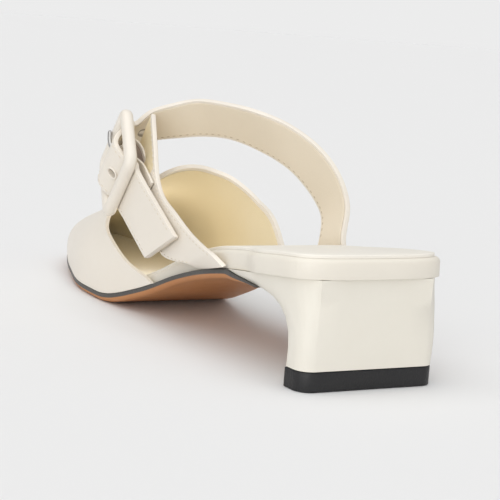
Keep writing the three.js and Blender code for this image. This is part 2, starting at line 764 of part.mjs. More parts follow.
addPiece('outsole', buildOutsole(), 0xa67c5c, 0.6);
addPiece('heel_block', buildHeelBlock(), 0xe5e1d5, 0.45);
addPiece('heel_top_piece', buildTopPiece(), 0x333235, 0.6);
addPiece('footbed', buildFootbed(), 0xe4ded0, 0.45);
addPiece('sock_lining', buildSockLining(), 0xe2d6c0, 0.6);
addPiece('vamp', buildVamp(), 0xece4d9, 0.45);
addPiece('instep_strap', buildInstepStrap(), 0xece4d9, 0.45);
addPiece('quarter_strap', buildQuarterStrap(), 0xece4d9, 0.45);
addPiece('buckle_loop', buildBuckleLoop(), 0xe0d3bd, 0.5);
addPiece('buckle_frame', buildBuckleFrame(), 0xece4d9, 0.45, 0, buckle);
addPiece('buckle_prong', buildProng(), 0x8c8a88, 0.3, 0.9, buckle);
shoe.add(buckle);

export default shoe;
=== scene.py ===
import math

import bpy
from mathutils import Matrix, Vector


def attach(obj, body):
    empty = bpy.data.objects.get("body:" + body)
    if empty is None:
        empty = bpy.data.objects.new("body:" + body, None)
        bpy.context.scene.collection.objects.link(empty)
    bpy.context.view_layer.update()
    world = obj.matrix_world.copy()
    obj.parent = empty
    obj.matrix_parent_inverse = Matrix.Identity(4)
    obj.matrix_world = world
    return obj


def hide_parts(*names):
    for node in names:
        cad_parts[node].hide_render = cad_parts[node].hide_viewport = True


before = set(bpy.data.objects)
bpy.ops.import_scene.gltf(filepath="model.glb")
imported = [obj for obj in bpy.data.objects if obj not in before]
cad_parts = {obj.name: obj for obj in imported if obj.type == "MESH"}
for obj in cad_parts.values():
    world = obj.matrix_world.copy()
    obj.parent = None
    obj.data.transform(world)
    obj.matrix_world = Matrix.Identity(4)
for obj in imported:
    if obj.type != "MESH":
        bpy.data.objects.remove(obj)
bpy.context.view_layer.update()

# The forms are worked out in millimetres and laid down in metres.
MM = 0.001

# Sizes of the shoe, in millimetres
shoe_length = 245
ball_width = 60
waist_width = 42
seat_width = 55.5
seat_height = 34.9
toe_spring = 8.3
instep_height = 80
clearance = 0.3
seam = 0.06

sole_thickness = 3.3
sole_end_thickness = 1.2
footbed_seat = 6.4
footbed_fore = 3.6
rim_round = 1.6
sock_thickness = 0.9
sock_inset = 1.8
toe_relief = 5

heel_width = 50.3
heel_depth = 10
heel_corner = 5
top_piece_thickness = 6.2
rim_overhang = 1.7
breast_tip = 49
seat_overhang = 2.0

skin_wall = 1.55
strap_thickness = 2.2
strap_width = 21
tail_length = 39
quarter_thickness = 2

buckle_across = 31.5
buckle_along = 29.6
buckle_bar = 4.4
buckle_thickness = 3.6
buckle_corner = 4.8
centre_bar_radius = 1.4
loop_width = 15
prong_radius = 0.8
prong_shift = -2.4

seat_back = -(heel_depth / 2 + seat_overhang)

outline = {
    "along": (0.06, 0.1, 0.16, 0.23, 0.3, 0.38, 0.46, 0.55, 0.63, 0.72, 0.8, 0.9, 1),
    "half": (
        0.5 * seat_width, 0.5 * seat_width, 0.48 * seat_width, 0.445 * seat_width,
        0.532 * waist_width, 0.5 * waist_width, 0.53 * waist_width,
        0.425 * ball_width, 0.474 * ball_width, 0.5 * ball_width,
        0.5 * ball_width, 0.5 * ball_width, 0.5 * ball_width,
    ),
    "middle": (
        0, 0, -0.003 * ball_width, -0.011 * ball_width,
        -0.025 * ball_width, -0.035 * ball_width, -0.03 * ball_width,
        -0.008 * ball_width, 0.032 * ball_width, 0.085 * ball_width,
        0.125 * ball_width, 0.14 * ball_width, 0.145 * ball_width,
    ),
}
toe_start = 0.66
toe_fullness = 0.75
seat_round = 0.06
seat_squareness = 3.2

side_view = {
    "along": (0, 0.04, 0.08, 0.16, 0.23, 0.295, 0.38, 0.463, 0.506, 0.547, 0.58, 0.61,
              0.69, 0.8, 0.89, 0.955, 1),
    "rise": (1, 0.98, 0.949, 0.873, 0.804, 0.709, 0.528, 0.285, 0.174, 0.079, 0.022, 0,
             0, 0, 0, 0, 0),
    "spring": (0, 0, 0, 0, 0, 0, 0, 0, 0, 0, 0, 0, 0, 0.16, 0.45, 0.77, 1),
}
breast = {
    "forward": (1, 0.84, 0.6, 0.38, 0.24, 0.115, 0.03, 0, 0),
    "height": (1, 0.97, 0.945, 0.915, 0.86, 0.745, 0.54, 0.3, 0),
}
ridge = {
    "along": (0.3, 0.38, 0.46, 0.55, 0.6, 0.68, 0.77, 0.85, 0.92, 1),
    "height": (1.0, 0.98, 0.82, 0.69, 0.6, 0.5, 0.41, 0.34, 0.29, 0.26),
    "bulge": (0.05, 0.05, 0.05, 0.05, 0.05, 0.045, 0.04, 0.03, 0.02, 0),
    "lean": (0.03, 0.03, 0.03, 0.03, 0.03, 0.02, 0.01, 0, 0, 0),
}
toe_box_start = 0.8
topline = {
    "turn": (0, 0.06, 0.13, 0.2, 0.27, 0.34, 0.42, 0.5, 0.6, 0.7, 0.8, 0.9, 1),
    "along": (0.448, 0.524, 0.58, 0.626, 0.646, 0.612, 0.57, 0.555, 0.546, 0.515, 0.464,
              0.402, 0.346),
}


# Form of the shoe
def mix(a, b, t):
    return a + (b - a) * t


def ease(t):
    c = min(1, max(0, t))
    return c * c * (3 - 2 * c)


def column(table, by, name):
    """A smooth line through one column of a table, without overshoot."""
    xs, ys = table[by], table[name]
    slope = [(ys[i + 1] - ys[i]) / (xs[i + 1] - xs[i]) for i in range(len(xs) - 1)]
    tangent = [slope[0]]
    for i in range(1, len(xs) - 1):
        a, b = slope[i - 1], slope[i]
        tangent.append(0 if a * b <= 0 else 2 * a * b / (a + b))
    tangent.append(slope[-1])

    def at(x):
        if x <= xs[0]:
            return ys[0]
        if x >= xs[-1]:
            return ys[-1]
        i = max(n for n in range(len(xs) - 1) if xs[n] <= x)
        width = xs[i + 1] - xs[i]
        t = (x - xs[i]) / width
        bend = width * (t * (1 - t) ** 2 * tangent[i] - t * t * (1 - t) * tangent[i + 1])
        return mix(ys[i], ys[i + 1], t * t * (3 - 2 * t)) + bend

    return at


outline_half = column(outline, "along", "half")
outline_middle = column(outline, "along", "middle")
side_rise = column(side_view, "along", "rise")
side_spring = column(side_view, "along", "spring")
ridge_height = column(ridge, "along", "height")
ridge_bulge = column(ridge, "along", "bulge")
ridge_lean = column(ridge, "along", "lean")
topline_along = column(topline, "turn", "along")


def half_width(along):
    if along > toe_start:
        t = min(1, (along - toe_start) / (1 - toe_start))
        return outline_half(along) * (1 - t * t) ** toe_fullness
    if along < seat_round:
        t = 1 - max(0, along) / seat_round
        return outline_half(along) * (1 - t ** seat_squareness) ** (1 / seat_squareness)
    return outline_half(along)


def underside(along):
    """Underside of the footbed in side view."""
    height = mix(sole_thickness, seat_height, side_rise(along)) + toe_spring * side_spring(along)
    return Vector((seat_back + shoe_length * along, height))


def above(along, lift):
    """A point a height above the footbed's underside, square to it."""
    step = 0.002
    slope = (underside(min(1, along + step)) - underside(max(0, along - step))).normalized()
    here = underside(along)
    return Vector((here.x - slope.y * lift, here.y + slope.x * lift))


def share_of(y):
    return (y - seat_back) / shoe_length


def outline_point(along, side, inset):
    """The outline in plan, moved in square to its edge; side is -1 outer, 1 inner."""
    step = 0.001
    a, b = max(0, along - step), min(1, along + step)
    edge = [outline_middle(s) + side * half_width(s) for s in (a, b, along)]
    tangent = Vector((edge[1] - edge[0], shoe_length * (b - a))).normalized()
    point = Vector((edge[2], seat_back + shoe_length * along))
    if along <= 0 or along >= 1:
        return point - Vector((0, inset if along >= 1 else -inset))
    return point - inset * Vector((side * tangent.y, -side * tangent.x))


def inset_edge(y, side, inset):
    """Edge of the outline moved in all round by an inset."""
    reach = 1e9
    for n in range(-12, 13):
        offset = inset * n / 12
        along = min(1, max(0, share_of(y + offset)))
        edge = side * outline_middle(along) + half_width(along)
        reach = min(reach, edge - math.sqrt(max(0, inset * inset - offset * offset)))
    return side * reach


def inset_end(start, end, inset):
    inside, outside = start, end
    for _ in range(24):
        y = (inside + outside) / 2
        if inset_edge(y, 1, inset) > inset_edge(y, -1, inset):
            inside = y
        else:
            outside = y
    return inside


def upper_inset(along):
    at_waist = (strap_thickness + 2 * clearance) * ease((along - 0.12) / 0.06)
    return at_waist + toe_relief * ease((along - 0.9) / 0.1)


def footbed_thickness(along):
    return mix(footbed_seat, footbed_fore, ease((along - 0.25) / 0.3))


def foot_surface(along, turn):
    """The upper's surface round the foot, from the outer (turn 0) to the inner side (1)."""
    c, s = math.cos(math.pi * turn), math.sin(math.pi * turn)
    sign = (c > 0) - (c < 0)
    side = -sign * abs(c) ** 0.92
    plan = outline_point(along, -1, 0).lerp(outline_point(along, 1, 0), 0.5 + 0.5 * side)
    floor = underside(share_of(plan.y)).y
    toe = min(1, max(0, (along - toe_box_start) / (1 - toe_box_start)))
    crown = (instep_height * ridge_height(along) - floor) * math.sqrt(1 - toe ** 3)
    fade = min(1, half_width(along) / (0.3 * ball_width))
    bulge = ridge_bulge(along) * ball_width * fade * abs(math.sin(2 * math.pi * turn))
    x = plan.x - sign * bulge + ridge_lean(along) * ball_width * s
    return Vector((x, plan.y, floor + max(0, crown) * max(0, s) ** 0.9))


def smooth_line(points):
    """A curve through the points, read from 0 to 1."""
    points = [Vector(p) for p in points]
    last = len(points) - 1

    def at(t):
        place = min(1, max(0, t)) * last
        i = min(int(place), last - 1)
        w = place - i
        p1, p2 = points[i], points[i + 1]
        p0 = points[i - 1] if i > 0 else 2 * p1 - p2
        p3 = points[i + 2] if i + 2 <= last else 2 * p2 - p1
        d0, d1, d2 = ((b - a).length ** 0.5 for a, b in ((p0, p1), (p1, p2), (p2, p3)))
        m1 = ((p1 - p0) / d0 - (p2 - p0) / (d0 + d1) + (p2 - p1) / d1) * d1
        m2 = ((p2 - p1) / d1 - (p3 - p1) / (d1 + d2) + (p3 - p2) / d2) * d1
        a = 2 * p1 - 2 * p2 + m1 + m2
        b = -3 * p1 + 3 * p2 - 2 * m1 - m2
        return ((a * w + b) * w + m1) * w + p1

    return at


# Buckle's place and the straps' lines
down_strap = Vector((-0.23, -0.74, -0.63)).normalized()
across_raw = Vector((0.03, 0.66, -0.75))
across_strap = (across_raw - across_raw.dot(down_strap) * down_strap).normalized()
out_of_strap = across_strap.cross(down_strap)
buckle_place = Vector((
    -0.467 * ball_width, seat_back + 0.554 * shoe_length, 0.683 * instep_height
))


def at_buckle(down, across, out):
    return buckle_place + across_strap * across + down_strap * down + out_of_strap * out


def at_shoe(side, along, up):
    return Vector((side * ball_width, seat_back + along * shoe_length, up * instep_height))


def strap_foot(side, along, thickness):
    plan = outline_point(along, side, clearance + thickness / 2)
    return Vector((plan.x, plan.y, underside(share_of(plan.y)).y + 3 * clearance))


instep_rise = {
    "rear": ((0.382, 0.234, 0.474), (0.469, 0.263, 0.618), (0.465, 0.294, 0.745),
             (0.409, 0.332, 0.85), (0.297, 0.378, 0.934), (0.178, 0.416, 0.975),
             (0.078, 0.46, 0.995), (-0.048, 0.509, 0.999), (-0.164, 0.526, 0.971),
             (-0.261, 0.554, 0.927), (-0.335, 0.568, 0.864)),
    "front": ((0.371, 0.291, 0.447), (0.432, 0.314, 0.534), (0.45, 0.337, 0.588),
              (0.426, 0.365, 0.659), (0.366, 0.393, 0.729), (0.283, 0.443, 0.79),
              (0.165, 0.482, 0.828), (0.067, 0.518, 0.829), (-0.049, 0.547, 0.813),
              (-0.183, 0.596, 0.775), (-0.29, 0.625, 0.715)),
}
through_buckle = {
    "down": (-0.44, -0.325, -0.215, 0, 0.2, 0.325, 0.44),
    "rear": (-0.33, -0.33, -0.33, -0.33, -0.335, -0.345, -0.35),
    "front": (0.33, 0.33, 0.33, 0.33, 0.325, 0.32, 0.335),
    "out": (-0.97, -0.85, 0.25, 1.02, 0.38, -0.86, -0.95),
}
tail_drift = 9.1
tail_drop = {"rear": 8.4, "front": 5}
tail_slant = 7.6
quarter_rise = {
    "rear": ((-0.425, 0.25, 0.407), (-0.433, 0.273, 0.427), (-0.433, 0.32, 0.469),
             (-0.433, 0.367, 0.53), (-0.417, 0.418, 0.588), (-0.39, 0.452, 0.66),
             (-0.35, 0.484, 0.775), (-0.3, 0.519, 0.87), (-0.26, 0.543, 0.919)),
    "front": ((-0.415, 0.32, 0.335), (-0.425, 0.355, 0.325), (-0.433, 0.395, 0.33),
              (-0.433, 0.428, 0.381), (-0.425, 0.482, 0.438), (-0.385, 0.51, 0.51),
              (-0.345, 0.537, 0.6), (-0.29, 0.565, 0.675), (-0.282, 0.575, 0.74)),
}


def instep_lines():
    rear = [strap_foot(1, 0.222, strap_thickness)] + [at_shoe(*p) for p in instep_rise["rear"]]
    front = [strap_foot(1, 0.29, strap_thickness)] + [at_shoe(*p) for p in instep_rise["front"]]
    for down, a, b, out in zip(*through_buckle.values()):
        level = out * buckle_thickness
        rear.append(at_buckle(down * buckle_along, a * buckle_across, level))
        front.append(at_buckle(down * buckle_along, b * buckle_across, level))
    start = through_buckle["down"][-1] * buckle_along
    out = through_buckle["out"][-1] * buckle_thickness
    for share in (0.2, 0.45, 0.72, 1):
        across = -tail_drift * share
        rear.append(at_buckle(start + tail_length * share, across - strap_width / 2,
                              out - tail_drop["rear"] * share))
        front.append(at_buckle(start + (tail_length - tail_slant) * share,
                               across + strap_width / 2, out - tail_drop["front"] * share))
    return smooth_line(rear), smooth_line(front)


def quarter_lines():
    rear = [strap_foot(-1, 0.229, quarter_thickness)] + [at_shoe(*p) for p in quarter_rise["rear"]]
    front = [strap_foot(-1, 0.31, quarter_thickness)] + [at_shoe(*p) for p in quarter_rise["front"]]
    return smooth_line(rear), smooth_line(front)


class Strap:
    """A strap's surface: t runs along it, across from its rear (0) to its front edge (1)."""

    def __init__(self, lines, outward):
        self.rear, self.front = lines
        self.outward = outward

    def place(self, t, across, lift=0.0):
        a, b = self.rear(t), self.front(t)
        step = 0.004
        low, high = max(0, t - step), min(1, t + step)
        direction = (self.rear(high) - self.rear(low)) + (self.front(high) - self.front(low))
        normal = direction.cross(b - a).normalized() * self.outward
        return a.lerp(b, across) + normal * lift

    def width(self, t):
        return (self.front(t) - self.rear(t)).length


instep = Strap(instep_lines(), -1)
quarter = Strap(quarter_lines(), 1)


# Camera and studio
camera_place = Vector((-264, -377, 108.3))
camera_yaw, camera_pitch, camera_roll = (math.radians(a) for a in (30.31, 8.45, 4.41))
camera_lens, camera_sensor = 108, 36

room_light, backdrop_light = 0.52, 0.84
floor_size, floor_drop = 60, 0.0001
# Each sun's energy, its width in degrees and its direction
suns = {
    "overhead": (1.35, 75, (0.22, 0.12, -1)),
    "behind_heel": (1.15, 45, (0.64, 0.72, -0.26)),
}
lamp_place, lamp_radius, lamp_energy = Vector((-4, 148, 24)), 11, 0.0082


def placed(name, data):
    made = bpy.data.objects.new(name, data)
    bpy.context.collection.objects.link(made)
    return made


def make_camera():
    forward = Vector((
        math.sin(camera_yaw) * math.cos(camera_pitch),
        math.cos(camera_yaw) * math.cos(camera_pitch),
        -math.sin(camera_pitch),
    ))
    level = Vector((math.cos(camera_yaw), -math.sin(camera_yaw), 0))
    upright = level.cross(forward)
    right = math.cos(camera_roll) * level + math.sin(camera_roll) * upright
    up = math.cos(camera_roll) * upright - math.sin(camera_roll) * level
    data = bpy.data.cameras.new("camera")
    data.lens = camera_lens
    data.sensor_width = camera_sensor
    data.clip_start, data.clip_end = 0.01, 50
    camera = placed("camera", data)
    turn = Matrix((right, up, -forward)).transposed().to_4x4()
    camera.matrix_world = Matrix.Translation(camera_place * MM) @ turn
    bpy.context.scene.camera = camera


def make_studio():
    nothing_selected()
    bpy.ops.mesh.primitive_grid_add(x_subdivisions=8, y_subdivisions=8, size=floor_size,
                                    location=(0, 0, -floor_drop))
    floor = bpy.context.object
    floor.name = "studio_floor"
    floor.data.materials.append(floor_finish())

    world = bpy.data.worlds.new("studio")
    bpy.context.scene.world = world
    world.use_nodes = True
    tree = world.node_tree
    white = (1.0, 1.0, 1.0, 1)
    soft = feed(tree, tree.nodes["Background"], {"Color": white, "Strength": room_light})
    seen = node(tree, "ShaderNodeBackground", {"Color": white, "Strength": backdrop_light})
    path = node(tree, "ShaderNodeLightPath")
    either = node(tree, "ShaderNodeMixShader", {
        "Fac": path.outputs["Is Camera Ray"], 1: soft.outputs[0], 2: seen.outputs[0],
    })
    feed(tree, tree.nodes["World Output"], {"Surface": either.outputs[0]})

    for name, (energy, width, direction) in suns.items():
        data = bpy.data.lights.new(name, "SUN")
        data.energy = energy
        data.angle = math.radians(width)
        light = placed(name, data)
        light.rotation_euler = Vector(direction).to_track_quat("-Z", "Y").to_euler()

    data = bpy.data.lights.new("lamp_in_the_vamp", "POINT")
    data.shadow_soft_size = lamp_radius * MM
    data.energy = lamp_energy
    lamp = placed("lamp_in_the_vamp", data)
    lamp.location = lamp_place * MM
    lamp.visible_camera = False
    scene = bpy.context.scene
    scene.view_settings.view_transform = "Standard"
    scene.view_settings.look = "None"


# Effects that the finishes share
def new_group(name, inputs, outputs):
    group = bpy.data.node_groups.new(name, "ShaderNodeTree")
    for direction, sockets in (("INPUT", inputs), ("OUTPUT", outputs)):
        for label, kind in sockets:
            group.interface.new_socket(label, in_out=direction, socket_type="NodeSocket" + kind)
    return group, group.nodes.new("NodeGroupInput"), group.nodes.new("NodeGroupOutput")


def feed(tree, made, inputs):
    """Gives each input of a node its value, or links it to a socket."""
    for label, value in inputs.items():
        if isinstance(value, bpy.types.NodeSocket):
            tree.links.new(value, made.inputs[label])
        else:
            made.inputs[label].default_value = value
    return made


def node(tree, kind, inputs=None, **settings):
    made = tree.nodes.new(kind)
    for key, value in settings.items():
        setattr(made, key, value)
    return feed(tree, made, inputs or {})


def math_node(tree, operation, a, b):
    return node(tree, "ShaderNodeMath", {0: a, 1: b}, operation=operation).outputs[0]


def band(tree, value, low, high):
    """What lies between low and high, stretched to 0 to 1."""
    inputs = {"From Min": low, "From Max": high, "Value": value}
    return node(tree, "ShaderNodeMapRange", inputs).outputs["Result"]


def make_grain():
    """Fine pebbled grain of a leather skin: its height, and a soft tone between pebbles."""
    group, given, result = new_group(
        "leather_grain",
        (("Vector", "Vector"), ("Pebble", "Float")), (("Height", "Float"), ("Tone", "Float")),
    )
    place, pebble = given.outputs["Vector"], given.outputs["Pebble"]
    cells = node(group, "ShaderNodeTexVoronoi",
                 {"Smoothness": 0.6, "Vector": place, "Scale": pebble}, feature="SMOOTH_F1")
    wide = math_node(group, "MULTIPLY", pebble, 0.35)
    haze = node(group, "ShaderNodeTexNoise", {"Detail": 5, "Vector": place, "Scale": wide})
    soft = math_node(group, "MULTIPLY", haze.outputs["Fac"], 0.5)
    height = math_node(group, "ADD", cells.outputs["Distance"], soft)
    feed(group, result, {"Height": height, "Tone": haze.outputs["Fac"]})
    return group


def make_handling():
    """Slow drift of tone that dye and handling leave, and small specks of dust."""
    group, given, result = new_group(
        "handling",
        (("Vector", "Vector"), ("Patch", "Float")), (("Tone", "Float"), ("Specks", "Float")),
    )
    place = given.outputs["Vector"]
    drift = node(group, "ShaderNodeTexNoise",
                 {"Detail": 3, "Vector": place, "Scale": given.outputs["Patch"]})
    dust = node(group, "ShaderNodeTexNoise", {"Scale": 1400, "Vector": place})
    feed(group, result, {
        "Tone": band(group, drift.outputs["Fac"], 0.35, 0.65),
        "Specks": band(group, dust.outputs["Fac"], 0.66, 0.74),
    })
    return group


grain = make_grain()
handling = make_handling()
rough_drift = 0.06
coat_rough = 0.25
grain_depth, rib_depth = 0.0002, 0.0004


def new_material(name):
    material = bpy.data.materials.new(name)
    material.use_nodes = True
    tree = material.node_tree
    return material, tree, tree.nodes["Principled BSDF"]


def finish_of(name, light, dark, rough, bump, pebble=900.0, patch=22.0, metallic=0.0, coat=0.0):
    """A finish with grain, a slow drift between two tones, and roughness that varies."""
    material, tree, shader = new_material(name)
    place = node(tree, "ShaderNodeTexCoord").outputs["Object"]
    skin = node(tree, "ShaderNodeGroup", {"Pebble": pebble, "Vector": place}, node_tree=grain)
    wear = node(tree, "ShaderNodeGroup", {"Patch": patch, "Vector": place}, node_tree=handling)
    slow = math_node(tree, "MULTIPLY", wear.outputs["Tone"], 0.7)
    fine = math_node(tree, "MULTIPLY", skin.outputs["Tone"], 0.3)
    blend = node(tree, "ShaderNodeMix", {
        "A": (*light, 1), "B": (*dark, 1), "Factor": math_node(tree, "ADD", slow, fine),
    }, data_type="RGBA")
    specks = math_node(tree, "MULTIPLY", wear.outputs["Specks"], 0.5)
    gloss = node(tree, "ShaderNodeMapRange", {
        "To Min": rough - rough_drift, "To Max": rough + rough_drift,
        "Value": math_node(tree, "ADD", skin.outputs["Tone"], specks),
    })
    relief = node(tree, "ShaderNodeBump", {
        "Strength": bump, "Distance": grain_depth, "Height": skin.outputs["Height"],
    })
    feed(tree, shader, {
        "Base Color": blend.outputs["Result"], "Roughness": gloss.outputs["Result"],
        "Normal": relief.outputs["Normal"], "Metallic": metallic,
        "Coat Weight": coat, "Coat Roughness": coat_rough,
    })
    return material


def floor_finish():
    material, tree, shader = new_material("studio_paper")
    fibre = node(tree, "ShaderNodeTexNoise", {"Scale": 3})
    blend = node(tree, "ShaderNodeMix", {
        "A": (0.815, 0.815, 0.815, 1), "B": (0.82, 0.82, 0.82, 1), "Factor": fibre.outputs["Fac"],
    }, data_type="RGBA")
    feed(tree, shader, {
        "Base Color": blend.outputs["Result"], "Roughness": 0.9, "Specular IOR Level": 0.1,
    })
    return material


cream_leather = finish_of("cream_leather", (0.83, 0.775, 0.69), (0.80, 0.74, 0.65), 0.42, 0.10,
                          coat=0.15)
heel_leather = finish_of("heel_leather", (0.81, 0.775, 0.69), (0.78, 0.74, 0.65), 0.42, 0.10,
                         coat=0.12)
rim_leather = finish_of("rim_leather", (0.81, 0.765, 0.675), (0.78, 0.73, 0.64), 0.45, 0.12)
# Golden lining leather of the vamp; on the quarter strap's upper end the same finish is painted
# shade.
lining_leather = finish_of("lining_leather", (0.86, 0.75, 0.52), (0.82, 0.705, 0.465), 0.6, 0.16,
                           pebble=1300)
strap_lining = finish_of("strap_lining", (0.77, 0.685, 0.55), (0.74, 0.65, 0.51), 0.6, 0.16,
                         pebble=1300)
sock_leather = finish_of("sock_leather", (0.87, 0.835, 0.76), (0.84, 0.80, 0.72), 0.5, 0.14,
                         pebble=1100)
sole_leather = finish_of("sole_leather", (0.54, 0.235, 0.082), (0.45, 0.188, 0.062), 0.5, 0.25,
                         pebble=700, patch=34)
painted_edge = finish_of("painted_edge", (0.075, 0.07, 0.063), (0.05, 0.047, 0.043), 0.45, 0.3,
                         pebble=1500)
heel_rubber = finish_of("heel_rubber", (0.013, 0.0125, 0.014), (0.009, 0.009, 0.0095), 0.5, 0.5,
                        pebble=1600)
thread = finish_of("thread", (0.78, 0.71, 0.6), (0.7, 0.62, 0.5), 0.7, 0.4, pebble=3000)
lining_thread = finish_of("lining_thread", (0.52, 0.43, 0.31), (0.45, 0.37, 0.26), 0.7, 0.4,
                          pebble=3000)
prong_metal = finish_of("prong_metal", (0.52, 0.51, 0.49), (0.42, 0.41, 0.40), 0.3, 0.08,
                        pebble=2500, metallic=1.0)
hole_rim = finish_of("hole_rim", (0.42, 0.36, 0.27), (0.3, 0.25, 0.18), 0.5, 0.2, pebble=1500)


def elastic_finish():
    """Ribbed elastic: cords run along the piece's own UV map."""
    material = finish_of("ribbed_elastic", (0.42, 0.33, 0.27), (0.34, 0.26, 0.21), 0.75, 0.3)
    tree = material.node_tree
    place = node(tree, "ShaderNodeTexCoord")
    ribs = node(tree, "ShaderNodeTexWave", {"Scale": 4, "Vector": place.outputs["UV"]})
    relief = node(tree, "ShaderNodeBump", {
        "Strength": 0.7, "Distance": rib_depth, "Height": ribs.outputs["Fac"],
    })
    feed(tree, tree.nodes["Principled BSDF"], {"Normal": relief.outputs["Normal"]})
    return material


ribbed_elastic = elastic_finish()


# Making pieces
def nothing_selected():
    if bpy.context.mode != "OBJECT":
        bpy.ops.object.mode_set(mode="OBJECT")
    bpy.ops.object.select_all(action="DESELECT")


def activate(piece):
    nothing_selected()
    piece.select_set(True)
    bpy.context.view_layer.objects.active = piece


def work(*operations):
    """Runs edit-mode operators on what is selected in the active mesh."""
    bpy.ops.object.mode_set(mode="EDIT")
    for operation in operations:
        operation()
    bpy.ops.object.mode_set(mode="OBJECT")


def edit(piece):
    """Makes a piece active, with nothing selected in its mesh."""
    activate(piece)
    work(lambda: bpy.ops.mesh.select_all(action="DESELECT"))


def select_whole():
    bpy.ops.mesh.select_all(action="SELECT")


def turn_outward():
    bpy.ops.mesh.normals_make_consistent(inside=False)


def tidy_normals(piece, merge=0.02):
    edit(piece)
    work(select_whole, lambda: bpy.ops.mesh.remove_doubles(threshold=merge * MM), turn_outward)


def flip(piece):
    edit(piece)
    work(select_whole, lambda: bpy.ops.mesh.flip_normals())


def face_up(piece):
    if sum(face.normal.z for face in piece.data.polygons) < 0:
        flip(piece)


def apply_modifier(piece, kind, **settings):
    activate(piece)
    modifier = piece.modifiers.new(kind.lower(), kind)
    for key, value in settings.items():
        setattr(modifier, key, value)
    bpy.ops.object.modifier_apply(modifier=modifier.name)


def thicken(piece, thickness, offset=0):
    """Gives a sheet its thickness: evenly for offset 0, all of it inwards for -1."""
    apply_modifier(piece, "SOLIDIFY", thickness=thickness * MM, offset=offset,
                   use_even_offset=False)


def soften_rim(piece, width, segments=3):
    apply_modifier(piece, "BEVEL", width=width * MM, segments=segments,
                   limit_method="ANGLE", angle_limit=math.radians(50))


def sheet(name, rows, columns, place, closed_across=False):
    """A grid laid on a surface: place(along, across) gives millimetres."""
    nothing_selected()
    bpy.ops.mesh.primitive_grid_add(x_subdivisions=columns, y_subdivisions=rows, size=1)
    piece = bpy.context.object
    piece.name = name
    for vertex in piece.data.vertices:
        vertex.co = place(vertex.co.y + 0.5, vertex.co.x + 0.5) * MM
    if closed_across:
        tidy_normals(piece)
    return piece


def plate(name, ring, height):
    """A plan outline in millimetres, filled and pulled up to a height."""
    nothing_selected()
    bpy.ops.mesh.primitive_circle_add(vertices=len(ring), radius=1, fill_type="NGON")
    piece = bpy.context.object
    piece.name = name
    for vertex, (x, y) in zip(piece.data.vertices, ring):
        vertex.co = Vector((x, y, 0)) * MM
    edit(piece)
    piece.data.polygons[0].select = True
    rise = (0, 0, height * MM)
    work(lambda: bpy.ops.mesh.extrude_region_move(TRANSFORM_OT_translate={"value": rise}))
    edit(piece)
    work(select_whole, turn_outward)
    return piece


def at_bottom(a, b):
    return max(a.z, b.z) < 0.1


def at_height(height):
    return lambda a, b: min(a.z, b.z) > height - 0.1


def round_edges(piece, chosen, width, segments):
    """Bevels the edges whose two ends answer to chosen(a, b), in millimetres."""
    edit(piece)
    mesh = piece.data
    for edge in mesh.edges:
        a, b = (mesh.vertices[n].co / MM for n in edge.vertices)
        edge.select = chosen(a, b)
    work(lambda: bpy.ops.mesh.bevel(offset=width * MM, segments=segments, profile=0.5,
                                    affect="EDGES"))


def cut_through(piece, axis, stations):
    """Cuts the mesh across at each station, so that it can bend there."""
    edit(piece)
    normal = [0, 0, 0]
    normal[axis] = 1
    bpy.ops.object.mode_set(mode="EDIT")
    for station in stations:
        point = [0, 0, 0]
        point[axis] = station * MM
        select_whole()
        bpy.ops.mesh.bisect(plane_co=point, plane_no=normal)
    bpy.ops.object.mode_set(mode="OBJECT")


def lay(piece, place):
    for vertex in piece.data.vertices:
        vertex.co = place(vertex.co / MM) * MM


def rod(name, line, radius, rows, sides):
    """A round bead along a line, closed at both ends."""
    step = 0.002
    end_rows = 1.5

    def place(along, across):
        ahead = (line(min(1, along + step)) - line(max(0, along - step))).normalized()
        guide = Vector((0, 0, 1)) if abs(ahead.z) < 0.9 else Vector((1, 0, 0))
        side = ahead.cross(guide).normalized()
        angle = 2 * math.pi * across
        close = min(along, 1 - along) * rows
        girth = radius * math.sqrt(max(0, min(1, close / end_rows)))
        return line(along) + girth * (math.cos(angle) * side + math.sin(angle) * side.cross(ahead))

    return sheet(name, rows, sides, place, closed_across=True)


def joined(name, pieces):
    nothing_selected()
    for piece in pieces:
        piece.select_set(True)
    bpy.context.view_layer.objects.active = pieces[0]
    bpy.ops.object.join()
    pieces[0].name = name
    return pieces[0]


def dress(piece, finish, nodes=(), degrees=35):
    if finish is not None:
        piece.data.materials.clear()
        piece.data.materials.append(finish)
    activate(piece)
    bpy.ops.object.shade_smooth_by_angle(angle=math.radians(degrees))
    if nodes:
        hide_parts(*nodes)
    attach(piece, "root")


def stitch_rows(name, rows, length=1.5, thick=0.34):
    """Rows of stitches; each row is a list of (place, direction, outward) in millimetres."""
    nothing_selected()
    bpy.ops.mesh.primitive_uv_sphere_add(segments=6, ring_count=4, radius=0.5 * MM)
    pattern = bpy.context.object
    pattern.data.transform(Matrix.Diagonal((length, thick * 1.3, thick, 1)))
    copies = []
    for row in rows:
        for place, direction, outward in row:
            data = pattern.data.copy()
            side = outward.cross(direction).normalized()
            top = direction.cross(side).normalized()
            turn = Matrix((direction.normalized(), side, top)).transposed().to_4x4()
            data.transform(Matrix.Translation(place * MM) @ turn)
            copy = pattern.copy()
            copy.data = data
            bpy.context.collection.objects.link(copy)
            copies.append(copy)
    bpy.data.objects.remove(pattern)
    return joined(name, copies)


def stitches_along(strap, start, end, inset, lift, side):
    """Places for stitches a distance in from one edge of a strap: -1 rear, 1 front."""
    spacing = 2.5
    count = 400

    def at(t):
        share = inset / strap.width(t)
        return strap.place(t, share if side < 0 else 1 - share, lift)

    found = []
    walked = spacing
    previous = at(start)
    for n in range(1, count + 1):
        t = mix(start, end, n / count)
        here = at(t)
        walked += (here - previous).length
        if walked >= spacing:
            walked = 0
            outward = strap.place(t, 0.5, lift + 1) - strap.place(t, 0.5, lift)
            found.append((here, (here - previous).normalized(), outward.normalized()))
        previous = here
    return found


